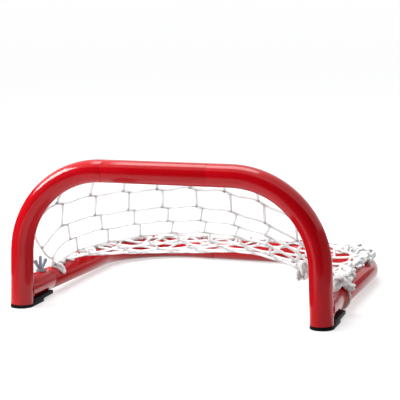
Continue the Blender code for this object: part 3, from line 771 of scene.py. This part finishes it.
class Surface(Nodes):
    """A procedural material on object coordinates."""

    def __init__(self, name):
        self.material = bpy.data.materials.new(name)
        self.material.use_nodes = True
        super().__init__(self.material.node_tree)
        self.shader = self.tree.nodes["Principled BSDF"]
        self.place = self.add("ShaderNodeTexCoord").outputs["Object"]

    def set(self, **values):
        """Give the shader's own sockets numbers, colours or the outputs of nodes."""
        for key, value in values.items():
            socket = self.shader.inputs[key.replace("_", " ")]
            if isinstance(value, bpy.types.NodeSocket):
                self.link(value, socket)
            else:
                socket.default_value = value

    def noise(self, scale, detail=2.0, roughness=0.5, stretch=None):
        place = self.place
        if stretch:
            place = self.add("ShaderNodeMapping", {"Vector": place, "Scale": stretch}).outputs[0]
        node = self.add("ShaderNodeTexNoise", {"Vector": place, "Scale": scale, "Detail": detail,
                                               "Roughness": roughness})
        return node.outputs["Fac"]

    def ramp(self, value, *stops):
        node = self.add("ShaderNodeValToRGB", {"Fac": value})
        for element, (position, colour) in zip(node.color_ramp.elements, stops):
            element.position = position
            element.color = (*colour, 1.0)
        return node.outputs["Color"]

    def bump(self, height, strength, distance, under=None):
        relief = {"Height": height, "Strength": strength, "Distance": distance}
        if under:
            relief["Normal"] = under
        node = self.add("ShaderNodeBump", relief)
        self.set(Normal=node.outputs[0])
        return node.outputs[0]


def red_paint():
    look = Surface("red_powder_paint")
    colour = look.ramp(look.noise(9.0, 3.0), (0.3, (0.425, 0.0006, 0.004)),
                       (0.7, (0.49, 0.001, 0.006)))
    marks = look.ramp(look.noise(160.0, 5.0, 0.7, (1.0, 1.0, 0.25)), (0.70, (0.0, 0.0, 0.0)),
                      (0.80, (0.3, 0.3, 0.3)))
    marked = look.add("ShaderNodeMix", {"Factor": marks, 6: colour, 7: (0.35, 0.004, 0.008, 1.0)},
                      data_type="RGBA")
    look.set(Base_Color=marked.outputs[2], Roughness=look.fade(look.noise(70.0, 4.0), 0.10, 0.19),
             Coat_Weight=0.2, Coat_Roughness=0.05, IOR=1.45, Specular_IOR_Level=0.38)
    peel = look.bump(look.noise(420.0, 2.0), 0.05, 0.0004)
    look.bump(look.noise(26.0, 2.0), 0.02, 0.0012, peel)
    return look.material


def plain_finish(name, grain, tones, gloss_grain, gloss, relief_grain, relief, **values):
    """Two close tones with an uneven gloss over one fine relief."""
    look = Surface(name)
    look.set(Base_Color=look.ramp(look.noise(*grain), *tones),
             Roughness=look.fade(look.noise(*gloss_grain), *gloss), **values)
    look.bump(look.noise(*relief_grain), *relief)
    return look.material


FINISHES = {
    "red_paint": red_paint(),
    "black_plastic": plain_finish(
        "black_moulded_plastic",
        (40.0, 4.0), ((0.35, (0.002, 0.002, 0.003)), (0.75, (0.008, 0.008, 0.009))),
        (90.0, 4.0), (0.42, 0.68), (900.0, 3.0), (0.25, 0.0003), Specular_IOR_Level=0.12),
    "zinc_plate": plain_finish(
        "zinc_plated_steel",
        (120.0, 4.0), ((0.3, (0.34, 0.39, 0.48)), (0.75, (0.58, 0.62, 0.70))),
        (260.0, 4.0), (0.34, 0.55), (600.0, 3.0), (0.2, 0.0002), Metallic=1.0),
    "white_twine": plain_finish(
        "white_net_twine",
        (55.0, 4.0, 0.6), ((0.25, (0.89, 0.89, 0.88)), (0.6, (0.94, 0.94, 0.93))),
        (300.0, 3.0), (0.55, 0.8), (1500.0, 3.0, 0.6), (0.2, 0.0004), Sheen_Weight=0.6,
        Subsurface_Weight=0.9, Subsurface_Scale=0.008, Subsurface_Radius=(1.0, 1.0, 1.0)),
    "cream_cord": plain_finish(
        "cream_tie_cord",
        (90.0, 4.0, 0.6), ((0.25, (0.90, 0.83, 0.71)), (0.7, (0.95, 0.90, 0.81))),
        (300.0, 3.0), (0.6, 0.85), (1400.0, 3.0, 0.6), (0.4, 0.0006)),
}


# Tubes

def in_world(path, x, y):
    """World places of flat coordinates in the plane of the hoop or of the base."""
    if path is HOOP:
        return np.stack(np.broadcast_arrays(x, HOOP_Y, y), 1)
    return from_base(np.stack(np.broadcast_arrays(x, y, 0.0), 1))


def rounded_end(start, ahead):
    """Stations that round a tube's outer edge, from its end face; ahead is +1 or -1."""
    steps = []
    for k in range(5):
        turn = math.pi / 2 * k / 4
        steps.append((start + ahead * EDGE_ROUNDING * (1 - math.cos(turn)),
                      TUBE_RADIUS - EDGE_ROUNDING * (1 - math.sin(turn))))
    return steps if ahead > 0 else steps[::-1]


def neck(seam, ahead):
    """Stations of a swaged neck and its shoulder at an end; ahead is +1 or -1."""
    stations = [(seam - ahead * NECK_LENGTH, NECK_RADIUS - NECK_CHAMFER),
                (seam - ahead * (NECK_LENGTH - 2 * NECK_CHAMFER), NECK_RADIUS),
                (seam - ahead * 0.0005, NECK_RADIUS)]
    for k in range(7):
        t = k / 6
        ease = t * t * (3 - 2 * t)
        stations.append((seam + ahead * SHOULDER * t,
                         NECK_RADIUS + (TUBE_RADIUS - NECK_RADIUS) * ease))
    return stations if ahead > 0 else stations[::-1]


def bend(path):
    """Stations along the bend of a U."""
    start, run = path[2:4]
    return [(start + run * k / BEND_STEPS, TUBE_RADIUS) for k in range(BEND_STEPS + 1)]


def add_tube(name, node, path, stations, side=0, cutters=()):
    """A hollow tube through (distance, radius) stations in the place of a CAD node.

    On a side, distances start at the leg's open end; on side 0 they run straight across.
    """
    distances, girth = np.array(stations).T
    if side:
        x, y = path_points(path, side * (path[4] - distances))
    else:
        x, y = distances, CROSSBAR_HEIGHT if path is HOOP else BASE_RUN
    piece = grow(name, [(in_world(path, x, y), girth, False)], "tube", "red_paint")
    piece.data.set_sharp_from_angle(angle=SHARP_ANGLE)
    shell = piece.modifiers.new("tube_wall", "SOLIDIFY")
    shell.thickness = TUBE_WALL
    shell.offset = -1.0
    shell.use_even_offset = True
    apply_modifiers(piece)
    if cutters:
        cut(piece, cutters)
    mount(piece, "frame", "red_paint", node)


def cut(piece, cutters):
    for cutter in cutters:
        modifier = piece.modifiers.new("cut", "BOOLEAN")
        modifier.operation = "DIFFERENCE"
        modifier.solver = "EXACT"
        modifier.object = cutter
    apply_modifiers(piece)
    for cutter in cutters:
        bpy.data.objects.remove(cutter, do_unlink=True)
    piece.data.set_sharp_from_angle(angle=SHARP_ANGLE)


def rod(name, start, end, radius, sides=48):
    """A plain closed rod between two points, used to cut with."""
    shape = bmesh.new()
    bmesh.ops.create_cone(shape, cap_ends=True, segments=sides, radius1=radius, radius2=radius,
                          depth=(end - start).length)
    turn = (end - start).to_track_quat("Z", "Y").to_matrix().to_4x4()
    shape.transform(Matrix.Translation((start + end) / 2) @ turn)
    mesh = bpy.data.meshes.new(name)
    shape.to_mesh(mesh)
    shape.free()
    return placed(name, mesh)


def bolt_cutter(side):
    foot = np.array([side * SOCKET_SPREAD / 2, BOLT_REACH, 0.0])
    base = Vector(from_base(foot))
    up = Vector(from_base(foot + (0.0, 0.0, 1.0)) - from_base(foot))
    return rod("bolt_hole", base - up * CUTTER_REACH, base + up * CUTTER_REACH,
               BOLT_RADIUS + BOLT_HOLE_CLEARANCE)


def post_cutter(side):
    low = Vector((side * LEG_SPREAD / 2, HOOP_Y, 0.0))
    lean = Vector((-side * math.sin(LEG_FLARE), 0.0, math.cos(LEG_FLARE)))
    return rod("post_outline", low, low + lean * POST_CUTTER, TUBE_RADIUS + SEAT_GAP, 96)


def weld_bead(name, side):
    """A rippled fillet where the socket meets the leg."""
    places, girths = [], []
    for k in range(WELD_STEPS):
        turn = math.tau * k / WELD_STEPS
        flat = np.array([side * SOCKET_SPREAD / 2 + TUBE_RADIUS * math.cos(turn), 0.0,
                         TUBE_RADIUS * math.sin(turn)])
        for _ in range(3):
            place = from_base(flat)
            axis_x = side * (LEG_SPREAD / 2 - place[2] * math.tan(LEG_FLARE))
            across = abs(place[0] - axis_x) * math.cos(LEG_FLARE)
            back = math.sqrt(max((TUBE_RADIUS + WELD_SEAT) ** 2 - across ** 2, 0.0))
            flat[1] += HOOP_Y + back - place[1]
        places.append(from_base(flat))
        girths.append(WELD_RADIUS + 0.0003 * math.sin(turn * 26) + 0.0002 * math.sin(turn * 7 + 1))
    return grow(name, [(places, girths, True)], "tube", "red_paint", {"Sides": 12})


def add_tubes():
    foot = (SOLE_THICKNESS + SEAT_GAP + TUBE_RADIUS * math.sin(LEG_FLARE)) / math.cos(LEG_FLARE)
    for side, word, seam in ((-1, "left", CROSSBAR_LEFT_SEAM), (1, "right", CROSSBAR_RIGHT_SEAM)):
        stations = rounded_end(foot, 1) + bend(HOOP) + rounded_end(HOOP_MIDDLE - seam, -1)
        add_tube(word + "_post_tube", word + "_post", HOOP, stations, side)
    for side, word, seam in ((-1, "left", BACK_LEFT_SEAM), (1, "right", BACK_RIGHT_SEAM)):
        stations = neck(SOCKET_REACH, 1) + bend(BASE) + neck(BASE_MIDDLE - seam, -1)
        add_tube(word + "_rail_tube", word + "_rail", BASE, stations, side, [bolt_cutter(side)])
    for name, node, path, left, right in (
            ("crossbar_tube", "crossbar", HOOP, CROSSBAR_LEFT_SEAM, CROSSBAR_RIGHT_SEAM),
            ("back_tube_skin", "back_tube", BASE, BACK_LEFT_SEAM, BACK_RIGHT_SEAM)):
        stations = rounded_end(SEAM_GAP - left, 1) + rounded_end(right - SEAM_GAP, -1)
        add_tube(name, node, path, stations)
    for side, word in ((-1, "left"), (1, "right")):
        stations = [(0.0, TUBE_RADIUS)] + rounded_end(SOCKET_REACH - SEAT_GAP, -1)
        add_tube(word + "_socket_tube", word + "_socket", BASE, stations, side,
                 [post_cutter(side), bolt_cutter(side)])
        mount(weld_bead(word + "_weld", side), "frame", "red_paint")


# Small rigid pieces

def fine_copy(name, node, finish, width, segments=2):
    """A CAD node's mesh with its edges rounded."""
    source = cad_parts[node]
    shape = bmesh.new()
    shape.from_mesh(source.data)
    shape.transform(source.matrix_world)
    bmesh.ops.remove_doubles(shape, verts=shape.verts, dist=1e-6)
    bmesh.ops.recalc_face_normals(shape, faces=shape.faces)
    bmesh.ops.dissolve_limit(shape, angle_limit=math.radians(1), verts=shape.verts,
                             edges=shape.edges)
    mesh = bpy.data.meshes.new(name)
    shape.to_mesh(mesh)
    shape.free()
    mesh.materials.clear()
    mesh.materials.append(FINISHES[finish])
    mesh.shade_smooth()
    piece = placed(name, mesh)
    edge = piece.modifiers.new("rounded_edges", "BEVEL")
    edge.width = width
    edge.segments = segments
    edge.limit_method = "ANGLE"
    edge.angle_limit = math.radians(28)
    edge.harden_normals = False
    return piece


def give_finish(node, finish):
    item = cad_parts[node]
    if not item.material_slots:
        item.data.materials.append(FINISHES[finish])
    for slot in item.material_slots:
        slot.material = FINISHES[finish]


def add_small_pieces():
    for side in ("left", "right"):
        foot = fine_copy(side + "_foot_moulding", side + "_foot", "black_plastic", 0.0007, 3)
        mount(foot, "frame", "black_plastic", side + "_foot")
        nut = fine_copy(side + "_wing_nut_casting", side + "_wing_nut", "zinc_plate", 0.0004)
        mount(nut, side + "_nut", "zinc_plate", side + "_wing_nut")
        for kind in ("_bolt", "_washer"):
            give_finish(side + kind, "zinc_plate")
    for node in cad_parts:
        if "hook" in node:
            give_finish(node, "red_paint")


def add_net():
    net = grow("net_twine", hang_net(), "twine", "white_twine")
    mount(net, "frame", "white_twine", "net")
    heaps = grow("net_heaps", heap_lumps(), "twine", "white_twine", {"Groove": HEAP_GROOVE})
    mount(heaps, "frame", "white_twine")
    lacing = grow("net_lacing", [crown_lacing(*row) for row in LACINGS], "twine", "white_twine")
    mount(lacing, "frame", "white_twine")
    tie = grow("right_tie_cord_loop", [right_tie()], "twine", "cream_cord")
    mount(tie, "frame", "cream_cord", "right_tie_cord")
    tie = grow("left_tie_cord_loop", [left_tie()], "twine", "white_twine")
    mount(tie, "frame", "white_twine", "left_tie_cord")


# Stage, light and camera

def add_floor():
    """A pale floor that keeps the shadow."""
    look = Surface("pale_floor")
    rays = look.add("ShaderNodeLightPath").outputs
    look.set(Roughness=0.6, Base_Color=look.fade(rays["Is Camera Ray"], 0.68, 0.52))
    lift = look.maths("MULTIPLY", rays["Is Camera Ray"], 0.55)
    glow = look.add("ShaderNodeEmission", {"Strength": lift})
    total = look.add("ShaderNodeAddShader", {0: look.shader.outputs[0], 1: glow.outputs[0]})
    # In reflections the floor is a painted glow in place of its lit colour: bright in front of the
    # crossbar and dim inside the goal, as painted shade
    x, y = look.add("ShaderNodeSeparateXYZ", {0: look.place}).outputs[:2]
    front = look.fade(look.maths("ABSOLUTE", look.maths("ADD", x, 0.09)), 1.0, 0.45, 0.16, 0.26)
    across = look.fade(look.maths("ABSOLUTE", x), 1.0, 0.0, 0.17, 0.23)
    depth = look.maths("ABSOLUTE", look.maths("SUBTRACT", y, 0.02))
    inside = look.maths("MULTIPLY", across, look.fade(depth, 1.0, 0.0, 0.13, 0.20))
    outside = look.maths("MAXIMUM", front, look.fade(y, 0.0, 1.0, -0.26, -0.22))
    level = look.maths("MINIMUM", look.fade(inside, 1.0, 0.10), outside)
    painted_reflection_glow = look.add("ShaderNodeEmission", {"Strength": level})
    choice = look.add("ShaderNodeMixShader", {0: rays["Is Glossy Ray"], 1: total.outputs[0],
                                              2: painted_reflection_glow.outputs[0]})
    look.link(choice.outputs[0], look.tree.nodes["Material Output"].inputs["Surface"])
    mesh = bpy.data.meshes.new("studio_floor")
    near, far = -FLOOR_REACH, FLOOR_REACH
    mesh.from_pydata([(near, near, 0), (far, near, 0), (far, far, 0), (near, far, 0)], [],
                     [(0, 1, 2, 3)])
    mesh.materials.append(look.material)
    placed("studio_floor", mesh)


def add_softbox(name, place, target, width, height, strength):
    lamp = bpy.data.lights.new(name, "AREA")
    lamp.shape = "RECTANGLE"
    lamp.size = width
    lamp.size_y = height
    lamp.energy = strength
    item = placed(name, lamp)
    item.location = place
    aim = Vector(target) - Vector(place)
    item.rotation_euler = aim.to_track_quat("-Z", "Y").to_euler()
    return item


def add_card(name, level, start, end, low, high):
    """An upright card that only reflections see and that glows at its level: a painted reflection,
    dark for the dim side of a studio and bright for a band of light.
    """
    mesh = bpy.data.meshes.new(name)
    corners = [(*start, low), (*end, low), (*end, high), (*start, high)]
    mesh.from_pydata(corners, [], [(0, 1, 2, 3)])
    look = Surface(name)
    look.set(Base_Color=(0.01, 0.01, 0.01, 1.0), Roughness=1.0, Specular_IOR_Level=0.0,
             Emission_Color=WHITE, Emission_Strength=level)
    mesh.materials.append(look.material)
    card = placed(name, mesh)
    card.visible_camera = False
    card.visible_diffuse = False
    card.visible_transmission = False
    card.visible_shadow = False


def add_light():
    """A white room, dimmer towards the front right, with four softboxes and some cards."""
    world = bpy.data.worlds.new("studio")
    bpy.context.scene.world = world
    world.use_nodes = True
    studio = Nodes(world.node_tree)
    studio.tree.nodes.clear()
    heading = studio.add("ShaderNodeTexCoord").outputs["Generated"]
    towards = studio.add("ShaderNodeVectorMath", {0: heading, 1: BRIGHT_SIDE},
                         operation="DOT_PRODUCT")
    level = studio.fade(towards.outputs["Value"], 0.08, 0.95, -1.0, 0.6)
    room = studio.add("ShaderNodeBackground", {"Color": (0.98, 0.99, 1.0, 1.0),
                                               "Strength": level})
    white = studio.add("ShaderNodeBackground", {"Color": WHITE})
    rays = studio.add("ShaderNodeLightPath").outputs
    seen = studio.maths("MAXIMUM", rays["Is Camera Ray"], rays["Is Glossy Ray"])
    seen = studio.maths("MAXIMUM", seen, rays["Is Transmission Ray"])
    share = studio.add("ShaderNodeMixShader", {0: seen, 1: room.outputs[0], 2: white.outputs[0]})
    studio.add("ShaderNodeOutputWorld", {"Surface": share.outputs[0]})
    add_softbox("overhead_softbox", (-0.45, 0.08, 2.3), (-0.45, 0.08, 0.0), 1.5, 1.25, 35.0)
    add_softbox("left_softbox", (-1.55, -0.62, 1.15), (0.0, 0.0, 0.1), 0.82, 0.82, 39.0)
    add_softbox("front_softbox", (0.25, -1.75, 1.85), (0.0, -0.2, 0.2), 2.2, 0.8, 2.0)
    near = add_softbox("left_front_softbox", (-0.9, -1.1, 0.5), (-0.1, -0.24, 0.15), 0.5, 0.5, 2.0)
    near.visible_glossy = False
    # Cards that glow only in reflections: painted dark sides and painted bright bands and patches
    # in the tubes' reflections
    for name, level, start, end, low, high in (
            ("front_card", 0.0, (-1.2, -0.64), (3.0, -0.64), 0.10, 0.69),
            ("front_right_card", 0.0, (0.05, -0.64), (3.0, -0.64), 0.0, 0.10),
            ("front_left_card", 0.42, (-1.2, -0.64), (0.05, -0.64), 0.0, 0.04),
            ("band_card", 0.9, (-1.2, -0.64), (0.05, -0.64), 0.04, 0.10),
            ("back_card", 0.03, (-0.6, 0.32), (0.24, 0.32), 0.0, 0.36),
            ("left_card", 0.02, (-0.50, -0.63), (-0.50, 1.4), 0.0, 0.3),
            ("right_card", 0.2, (0.62, -0.63), (0.62, 1.4), 0.0, 0.3),
            ("right_post_card", 0.02, (0.14, -0.33), (0.14, -0.17), 0.0, 0.12),
            ("left_post_card", 0.25, (-0.14, -0.35), (-0.14, -0.19), 0.0, 0.12)):
        add_card(name, level, start, end, low, high)


def add_camera():
    camera = bpy.data.cameras.new("photo_view")
    camera.lens = CAMERA_LENS
    camera.sensor_width = 36.0
    camera.clip_start = 0.05
    camera.clip_end = 200.0
    turn, rise, roll = (math.radians(angle) for angle in CAMERA_ANGLES)
    back = Vector((math.sin(turn) * math.cos(rise), -math.cos(turn) * math.cos(rise),
                   math.sin(rise)))
    right = Vector((math.cos(turn), math.sin(turn), 0.0))
    up = back.cross(right)
    side = right * math.cos(roll) + up * math.sin(roll)
    top = up * math.cos(roll) - right * math.sin(roll)
    item = placed("photo_view", camera)
    item.matrix_world = (Matrix.Translation(CAMERA_PLACE)
                         @ Matrix((side, top, back)).transposed().to_4x4())
    bpy.context.scene.camera = item
    bpy.context.scene.view_settings.view_transform = "Standard"


add_camera()
add_light()
add_floor()
add_tubes()
add_small_pieces()
add_net()
